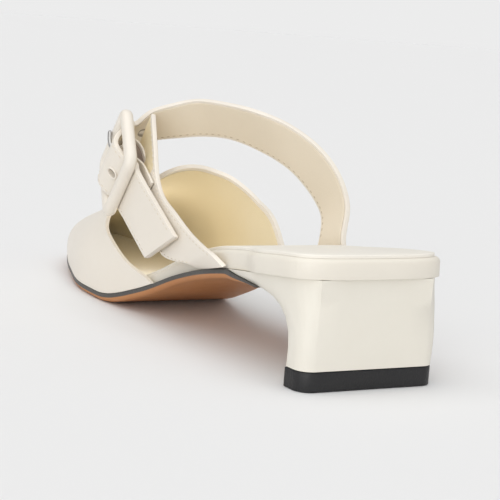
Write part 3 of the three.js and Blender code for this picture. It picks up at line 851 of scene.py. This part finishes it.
# Sole, heel and footbed. Sole boards are cut this tall and flat, then laid along the shoe.
board_height = 10
sole_round = 2.0
painted_below = 0.22
breast_base = Vector((heel_depth / 2, top_piece_thickness + clearance))
breast_tip_along = share_of(breast_tip)
breast_top = above(breast_tip_along, -seam)
breast_line = smooth_line([
    Vector((0, mix(breast_base.x, breast_top.x, f), mix(breast_base.y, breast_top.y, h)))
    for f, h in zip(*breast.values())
])


def ring_of(edge, stations):
    """Closed outline in plan from an edge(station, side) function."""
    outer = [edge(s, -1) for s in stations]
    inner = [edge(s, 1) for s in reversed(stations)]
    ring = []
    for point in outer + inner:
        if not ring or (Vector(point) - Vector(ring[-1])).length > 0.05:
            ring.append(point)
    if (Vector(ring[0]) - Vector(ring[-1])).length < 0.05:
        ring.pop()
    return ring


def spread(start, end, count):
    """Stations that lie closer together at both ends."""
    return [mix(start, end, 0.5 - 0.5 * math.cos(math.pi * n / count)) for n in range(count + 1)]


def sole_plate(name, inset, low, high, round_top, round_bottom):
    """A sole-shaped board laid on the footbed's underside; low and high are lifts over it."""
    rear = inset_end(seat_back + shoe_length / 2, seat_back, inset(0))
    front = inset_end(seat_back + shoe_length / 2, seat_back + shoe_length, inset(1))
    ring = ring_of(lambda y, side: (inset_edge(y, side, inset(share_of(y))), y),
                   spread(rear, front, 90))
    piece = plate(name, ring, board_height)
    if round_bottom:
        round_edges(piece, at_bottom, round_bottom, 2)
    round_edges(piece, at_height(board_height), round_top, 4)
    cuts = 64
    cut_through(piece, 1, [mix(rear, front, n / cuts) for n in range(1, cuts)])

    def place(p):
        share = share_of(p.y)
        upper_half = p.z > board_height / 2
        lift = high(share) - (board_height - p.z) if upper_half else low(share) + p.z
        line = above(min(1, max(0, share)), lift)
        return Vector((p.x, line.x, line.y))

    lay(piece, place)
    tidy_normals(piece, 0.005)
    return piece


def make_outsole():
    """The sole runs from the toe back under the arch and a short way down the heel's breast."""
    lap_share, lap_rows, rows, cuts = 0.32, 8, 89, 90
    path = []
    for n in range(lap_rows + 1):
        point = breast_line(mix(lap_share, 0, n / lap_rows))
        thick = mix(0.5 * sole_end_thickness, sole_thickness - seam, ease(n / lap_rows))
        path.append((point.y, point.z, thick))
    for n in range(1, rows + 1):
        along = mix(breast_tip_along, 1, n / rows)
        line = above(along, -seam)
        path.append((line.x, line.y, sole_thickness - seam))
    walked = [0.0]
    for a, b in zip(path, path[1:]):
        walked.append(walked[-1] + math.dist(a[:2], b[:2]))
    reach = walked[-1]

    def at(run):
        i = max(n for n in range(len(walked) - 1) if walked[n] <= max(0, run))
        t = (run - walked[i]) / (walked[i + 1] - walked[i])
        y, z, thick = (mix(a, b, t) for a, b in zip(path[i], path[i + 1]))
        before, after = path[max(0, i - 1)], path[min(len(path) - 1, i + 2)]
        slope = Vector((after[0] - before[0], after[1] - before[1])).normalized()
        return Vector((y, z)), slope, thick

    def edge(run, side):
        along = share_of(at(run)[0].x)
        half = half_width(along) - rim_overhang * (1 - ease((along - breast_tip_along) / 0.06))
        return (outline_middle(along) + side * half, run)

    ring_rows = 110
    stations = [reach * math.sin(0.5 * math.pi * n / ring_rows) for n in range(ring_rows + 1)]
    piece = plate("outsole_leather", ring_of(edge, stations), board_height)
    round_edges(piece, at_bottom, sole_round, 5)
    round_edges(piece, at_height(board_height), 0.3, 2)
    cut_through(piece, 1, [reach * n / cuts for n in range(1, cuts)])

    def place(p):
        spot, slope, thick = at(min(reach, max(0, p.y)))
        upper_half = p.z > board_height / 2
        depth = board_height - p.z if upper_half else thick - min(p.z, thick / 2)
        depth = min(depth, thick)
        return Vector((p.x, spot.x + slope.y * depth, spot.y - slope.x * depth))

    lay(piece, place)
    tidy_normals(piece, 0.005)
    piece.data.materials.append(sole_leather)
    piece.data.materials.append(painted_edge)
    for face in piece.data.polygons:
        share = share_of(face.center.y / MM)
        slope = above(min(1, share + 0.01), 0) - above(max(0, share - 0.01), 0)
        downward = face.normal.dot(Vector((0, slope.y, -slope.x)).normalized())
        face.material_index = 0 if downward > painted_below else 1
    return piece


def heel_half(share):
    t = max(0, 1 - share * heel_depth / heel_corner)
    return heel_width / 2 - heel_corner + heel_corner * math.sqrt(max(0, 1 - t * t))


def heel_ring():
    corner = []
    for n in range(9):
        angle = 0.5 * math.pi * n / 8
        share = heel_corner * (1 - math.cos(angle)) / heel_depth
        corner.append((heel_width / 2 - heel_corner + heel_corner * math.sin(angle),
                       mix(-heel_depth / 2, heel_depth / 2, share)))
    right = corner + [(heel_width / 2, y) for y in (2, heel_depth / 2)]
    left = [(-x, y) for x, y in reversed(right)]
    front = [(x * heel_width / 2, heel_depth / 2) for x in (0.6, 0.2, -0.2, -0.6)]
    back = [(x * heel_width / 2, -heel_depth / 2) for x in (-0.5, -0.2, 0.2, 0.5)]
    return right + front + left + back


def make_heel_block():
    piece = plate("heel_cover", heel_ring(), 1)
    front_round, cuts = 0.9, 36

    def on_front_edge(a, b):
        return abs(a.z - b.z) > 0.5 and all(
            v.y > heel_depth / 2 - 0.1 and abs(v.x) > heel_width / 2 - 0.1 for v in (a, b)
        )

    round_edges(piece, on_front_edge, front_round, 3)
    cut_through(piece, 2, [n / cuts for n in range(1, cuts)])
    top_start = rim_overhang / shoe_length
    back_top = above(top_start, -seam)
    back_base = Vector((-heel_depth / 2, top_piece_thickness + clearance))

    def place(p):
        share = min(1, max(0, (p.y + heel_depth / 2) / heel_depth))
        up = min(1, max(0, p.z))
        across = p.x / heel_half(share)
        breast_point = breast_line(1 - up)
        front = Vector((breast_point.y, breast_point.z))
        back = back_base.lerp(back_top, up)
        top_along = mix(top_start, breast_tip_along, share)
        base = Vector((mix(back_base.x, breast_base.x, share), back_base.y))
        corner = back_base.lerp(breast_base, share).lerp(back_top.lerp(breast_top, share), up)
        line = base.lerp(above(top_along, -seam), up) + back.lerp(front, share) - corner
        top_half = half_width(max(top_along, 0.012)) - rim_overhang
        top_x = outline_middle(top_along) + across * top_half
        return Vector((mix(p.x, top_x, up), line.x, line.y))

    lay(piece, place)
    return piece


def make_top_piece():
    piece = plate("heel_rubber_piece", heel_ring(), top_piece_thickness)
    round_edges(piece, at_bottom, 0.35, 2)
    round_edges(piece, at_height(top_piece_thickness), 0.25, 2)
    return piece


# Upper
def upper_wall(share, turn, depth):
    """A point inside the upper's wall, a depth in from its outer face."""
    step = 0.002
    ahead = foot_surface(min(0.999, share + step), turn) - foot_surface(share - step, turn)
    around = foot_surface(share, min(1, turn + step)) - foot_surface(share, max(0, turn - step))
    return foot_surface(share, turn) - around.cross(ahead).normalized() * depth


def make_vamp():
    """Outer leather with a rounded edge along the topline, and a thin lining within it."""
    rows, columns = 90, 110
    toe_end, thin_from = 0.99995, 0.88
    lining_start, lining_end = 0.008, 0.972
    lining_gap, lining_wall = 0.05, 0.18

    def skin_place(along, across):
        return foot_surface(mix(topline_along(across), toe_end, 1 - (1 - along) ** 2), across)

    skin = sheet("vamp_skin", rows, columns, skin_place)
    tidy_normals(skin, 0.01)
    face_up(skin)
    count = len(skin.data.vertices)
    thicken(skin, skin_wall, -1)
    vertices = skin.data.vertices
    for n in range(count):
        share = share_of(vertices[n].co.y / MM)
        if share > thin_from:
            keep = min(1, 0.35 * half_width(share) / skin_wall)
            vertices[n + count].co = vertices[n].co.lerp(vertices[n + count].co, keep)
    soften_rim(skin, 0.4 * skin_wall, 4)

    def lining_place(along, across):
        start = topline_along(across) + lining_start
        share = mix(start, lining_end, 1 - (1 - along) ** 1.6)
        return upper_wall(share, across, skin_wall + lining_gap)

    lining = sheet("vamp_lining", rows, columns, lining_place)
    face_up(lining)
    thicken(lining, lining_wall, -1)
    return skin, lining


def strap_layer(name, strap, rows, finish, lift, thick, inset, crown):
    """One layer of a strap, at a lift over the strap's middle surface and crowned across."""
    def place(along, across):
        width = strap.width(along)
        share = mix(inset / width, 1 - inset / width, across)
        return strap.place(along, share, lift + crown * (1 - (2 * across - 1) ** 4))

    piece = sheet(name, rows, 14, place)
    face = piece.data.polygons[len(piece.data.polygons) // 2]
    if face.normal.dot(strap.place(0.5, 0.5, 1) - strap.place(0.5, 0.5)) < 0:
        flip(piece)
    thicken(piece, thick)
    soften_rim(piece, 0.4 * thick)
    piece.data.materials.append(finish)
    return piece


def strap_skin(name, strap, rows, lift, thick):
    return strap_layer(name, strap, rows, cream_leather, lift, thick, 0.1, 0.12)


def strap_inner(name, strap, rows, lift, thick, inset):
    return strap_layer(name, strap, rows, strap_lining, lift, thick, inset, -0.05)


def paint_shade_on_upper_end(piece, strap, start, band, finish):
    """Paints shade on the outer face: another, darker finish from a share along the strap on,
    within its edges.
    """
    edge, ahead = strap.place(start, 0.5), strap.place(start + 0.02, 0.5)
    along = (ahead - edge).normalized()
    piece.data.materials.append(finish)
    for face in piece.data.polygons:
        centre = face.center / MM
        if (centre - edge).dot(along) < 0:
            continue
        t = min((n / 60 for n in range(int(60 * start), 61)),
                key=lambda n: (strap.place(n, 0.5) - centre).length)
        low, high = strap.place(t, band), strap.place(t, 1 - band)
        run = (high - low).normalized()
        facing = (strap.place(t, 0.5, 1) - strap.place(t, 0.5)).normalized()
        inside = 0 < (centre - low).dot(run) < (high - low).length
        if inside and face.normal.dot(facing) > 0.5:
            face.material_index = 1


# Buckle
def frame_path(turn):
    """Middle line of the buckle's frame, as across and down; turn runs once round."""
    radius = buckle_corner - buckle_bar / 2
    half_a = (buckle_across - buckle_bar) / 2 - radius
    half_d = (buckle_along - buckle_bar) / 2 - radius
    quarter_arc = 0.5 * math.pi * radius
    parts = ((2 * half_a, 0), (quarter_arc, 1), (2 * half_d, 2), (quarter_arc, 3),
             (2 * half_a, 4), (quarter_arc, 5), (2 * half_d, 6), (quarter_arc, 7))
    run = (turn % 1) * sum(length for length, _ in parts)
    corners = ((half_a, -half_d), (half_a, half_d), (-half_a, half_d), (-half_a, -half_d))
    for length, kind in parts:
        if run <= length or kind == 7:
            break
        run -= length
    side = kind // 2
    angle = math.radians((-90, 0, 90, 180)[side])
    if kind % 2:
        angle += 0.5 * math.pi * run / length
        x, y = corners[side]
        return (x + radius * math.cos(angle), y + radius * math.sin(angle)), angle
    normal = Vector((math.cos(angle), math.sin(angle)))
    along = Vector((-normal.y, normal.x))
    middle = Vector((half_a * abs(normal.x) + radius, half_d * abs(normal.y) + radius))
    centre = Vector((normal.x * middle.x, normal.y * middle.y))
    point = centre + along * (run - length / 2)
    return (point.x, point.y), angle


def make_frame_cover():
    """Leather pulled round a flat square ring, pillowed towards its middle line."""
    rows, sides = 132, 20
    bar_puff, thickness_puff = 1.18, 1.24

    def place(along, across):
        (x, y), angle = frame_path(along)
        turn = 2 * math.pi * across
        c, s = math.cos(turn), math.sin(turn)
        reach = 0.5 * buckle_bar * bar_puff * math.copysign(abs(c) ** 0.8, c)
        out = 0.5 * buckle_thickness * thickness_puff * math.copysign(abs(s) ** 0.85, s)
        return at_buckle(y + reach * math.sin(angle), x + reach * math.cos(angle), out)

    cover = sheet("buckle_cover", rows, sides, place, closed_across=True)
    bar = rod("buckle_bar", lambda t: at_buckle(0, mix(-1, 1, t) * (buckle_across / 2 - 2.4), 0),
              centre_bar_radius - 0.2, 16, 16)
    return joined("buckle_cover", [cover, bar])


def make_prong():
    over = buckle_thickness / 2 + clearance + prong_radius
    line = smooth_line([
        at_buckle(-0.074 * buckle_along, prong_shift, 0.17 * buckle_thickness),
        at_buckle(-0.15 * buckle_along, prong_shift, 0.72 * buckle_thickness),
        at_buckle(-0.26 * buckle_along, prong_shift, over + prong_radius / 2),
        at_buckle(-0.47 * buckle_along, prong_shift, over),
    ])
    pin = rod("prong_pin", line, prong_radius, 40, 16)
    eye_radius = 0.85 * prong_radius

    def place(along, across):
        angle, girth = 2 * math.pi * along, 2 * math.pi * across
        radius = centre_bar_radius + clearance + eye_radius * (1 + math.cos(girth))
        return at_buckle(radius * math.cos(angle),
                         prong_shift + prong_radius * math.sin(girth),
                         radius * math.sin(angle))

    eye = sheet("prong_eye", 32, 12, place, closed_across=True)
    return joined("prong", [pin, eye])


# Loop of leather round the centre bar: each leg's sections as down, rear edge, front edge and out
outer_leg = ((1.2, -7.5, 7.5, -2.2), (2.9, -7.5, 7.3, -3.9), (7.1, -8.8, 6.0, -6.3),
             (14.9, -11.3, 3.5, -7.3), (21.0, -13.2, 1.6, -7.7))
inner_leg = ((-1.6, -7.5, 7.5, -1.6), (-5.0, -7.5, 7.5, -3.4), (-6.4, -7.4, 7.5, -5.0),
             (-3.5, -7.4, 7.5, -7.3), (1.2, -7.6, 7.3, -8.2), (6.8, -8.8, 6.0, -8.5),
             (15.7, -11.3, 3.5, -8.9))


leg_wall, wrap_wall = 0.95, 0.6
# Gusset in the loop's pocket: the points of its two edges as down and out
gusset_across = -6.3
gusset_edges = (
    ((-5.9, -4.6), (-3.3, -6.6), (1.0, -7.5), (6.8, -7.7)),
    ((-4.0, -3.5), (1.0, -4.0), (3.6, -5.6), (6.9, -7.2)),
)
gusset_wall, gusset_bulge = 0.5, 0.7


def leg_lines(rows):
    rear = smooth_line([at_buckle(down, rear, out) for down, rear, _, out in rows])
    front = smooth_line([at_buckle(down, front, out) for down, _, front, out in rows])
    return rear, front


def make_loop():
    pieces = []
    for name, rows in (("loop_outer_leg", outer_leg), ("loop_inner_leg", inner_leg)):
        leg = sheet(name, 48, 10, Strap(leg_lines(rows), 1).place)
        thicken(leg, leg_wall)
        soften_rim(leg, 0.36)
        pieces.append(leg)
    radius = centre_bar_radius + clearance - 0.1

    def round_bar(along, across):
        angle = math.radians(mix(-140, 140, along))
        return at_buckle(-radius * math.sin(angle), mix(-0.5, 0.5, across) * loop_width,
                         radius * math.cos(angle))

    wrap = sheet("loop_wrap", 28, 8, round_bar)
    thicken(wrap, wrap_wall)
    pieces.append(wrap)
    return joined("loop", pieces)


def make_elastic():
    """Ribbed gusset that fills the pocket between the loop's two legs."""
    upper, lower = (smooth_line([at_buckle(down, gusset_across, out) for down, out in edge])
                    for edge in gusset_edges)

    def place(along, across):
        bulge = math.sin(math.pi * across) * gusset_bulge
        return upper(along).lerp(lower(along), across) + across_strap * bulge

    piece = sheet("elastic", 30, 14, place)
    thicken(piece, gusset_wall)
    return piece


# Holes and stitches
def strap_axes(strap, t, across):
    """Place, direction along, direction across and outward of a point on a strap."""
    here = strap.place(t, across)
    ahead = (strap.place(min(1, t + 0.002), across) - strap.place(t - 0.002, across)).normalized()
    outward = (strap.place(t, across, 1) - here).normalized()
    return here, ahead, outward.cross(ahead).normalized(), outward


def hole_ring(name, strap, t, across, lift, long_radius, short_radius, bead):
    """A rounded rim round a hole in a strap."""
    here, ahead, side, outward = strap_axes(strap, t, across)

    def place(along, around):
        angle, girth = 2 * math.pi * along, 2 * math.pi * around
        radial = ahead * (long_radius * math.cos(angle)) + side * (short_radius * math.sin(angle))
        bulge = radial.normalized() * (bead * math.cos(girth))
        return here + outward * (lift + 0.8 * bead * math.sin(girth)) + radial + bulge

    return sheet(name, 40, 10, place, closed_across=True)


def cut_hole(pieces, strap, t, across, long_radius, short_radius):
    here, ahead, side, outward = strap_axes(strap, t, across)
    nothing_selected()
    bpy.ops.mesh.primitive_cylinder_add(vertices=28, radius=1, depth=1)
    cutter = bpy.context.object
    turn = Matrix((ahead, side, outward)).transposed().to_4x4()
    size = Matrix.Diagonal((long_radius * MM, short_radius * MM, 7 * MM, 1))
    cutter.data.transform(Matrix.Translation(here * MM) @ turn @ size)
    for piece in pieces:
        apply_modifier(piece, "BOOLEAN", object=cutter, operation="DIFFERENCE", solver="EXACT")
    bpy.data.objects.remove(cutter)


make_camera()
make_studio()

footbed = sole_plate("footbed_wrap", upper_inset, lambda s: 0, footbed_thickness, rim_round, 0.4)
dress(footbed, rim_leather, ("footbed",))
sock = sole_plate(
    "sock", lambda s: upper_inset(s) + sock_inset,
    lambda s: footbed_thickness(s) + seam,
    lambda s: footbed_thickness(s) + clearance + sock_thickness, 0.4, 0,
)
dress(sock, sock_leather, ("sock_lining",))
outsole = make_outsole()
dress(outsole, None, ("outsole",), 50)
heel = make_heel_block()
dress(heel, heel_leather, ("heel_block",))
top_piece = make_top_piece()
dress(top_piece, heel_rubber, ("heel_top_piece",))
vamp_skin, vamp_lining = make_vamp()
dress(vamp_skin, cream_leather, ("vamp",), 50)
dress(vamp_lining, lining_leather, ("vamp",), 50)
instep_rows, quarter_rows = 300, 140
instep_skin = strap_skin("instep_skin", instep, instep_rows, 0.2, 1.76)
instep_inner = strap_inner("instep_lining", instep, instep_rows, -0.87, 0.34, 1.0)
quarter_skin = strap_skin("quarter_skin", quarter, quarter_rows, 0.15, 1.64)
quarter_inner = strap_inner("quarter_lining", quarter, quarter_rows, -0.84, 0.3, 0.9)

# Places on the instep strap, as shares along and across it
prong_hole = (0.622, 0.385)
spare_hole = (0.724, 0.5)
lined_hole = (0.4685, 0.525)
cut_hole((instep_skin, instep_inner), instep, *prong_hole, 2.7, 0.6)
cut_hole((instep_skin, instep_inner), instep, *spare_hole, 2.0, 1.35)
cut_hole((instep_inner,), instep, *lined_hole, 1.7, 1.7)
rims = [
    hole_ring("prong_hole_rim", instep, *prong_hole, 1.25, 3.1, 1.0, 0.45),
    hole_ring("spare_hole_rim", instep, *spare_hole, 1.3, 2.4, 1.75, 0.42),
]
dress(joined("hole_rims", rims), cream_leather, (), 60)
eyelet = hole_ring("lining_eyelet", instep, *lined_hole, -1.05, 2.0, 2.0, 0.4)
dress(eyelet, hole_rim, (), 60)
dress(instep_skin, None, ("instep_strap",), 50)
dress(instep_inner, None, ("instep_strap",), 50)
# Painted shade: the quarter strap's upper end, in the shadow of the buckle and instep strap, gets
# the darker golden lining finish on its outer face.
paint_shade_on_upper_end(quarter_skin, quarter, 0.71, 0.07, lining_leather)
dress(quarter_skin, None, ("quarter_strap",), 50)
dress(quarter_inner, None, ("quarter_strap",), 50)

cover = make_frame_cover()
dress(cover, cream_leather, ("buckle_frame",), 60)
prong = make_prong()
dress(prong, prong_metal, ("buckle_prong",), 60)
loop = make_loop()
dress(loop, cream_leather, ("buckle_loop",), 50)
elastic = make_elastic()
dress(elastic, ribbed_elastic)

stitch_inset = 1.5
strap_stitches = stitch_rows("strap_stitches", [
    stitches_along(strap, start, end, stitch_inset, lift, side)
    for strap, start, end, lift in ((instep, 0.03, 0.985, 1.16), (quarter, 0.14, 0.98, 1.06))
    for side in (-1, 1)
])
dress(strap_stitches, thread)
lining_stitches = stitch_rows("lining_stitches", [
    stitches_along(instep, 0.05, 0.5, 1.6, -1.06, 1),
], 1.4, 0.26)
dress(lining_stitches, lining_thread)
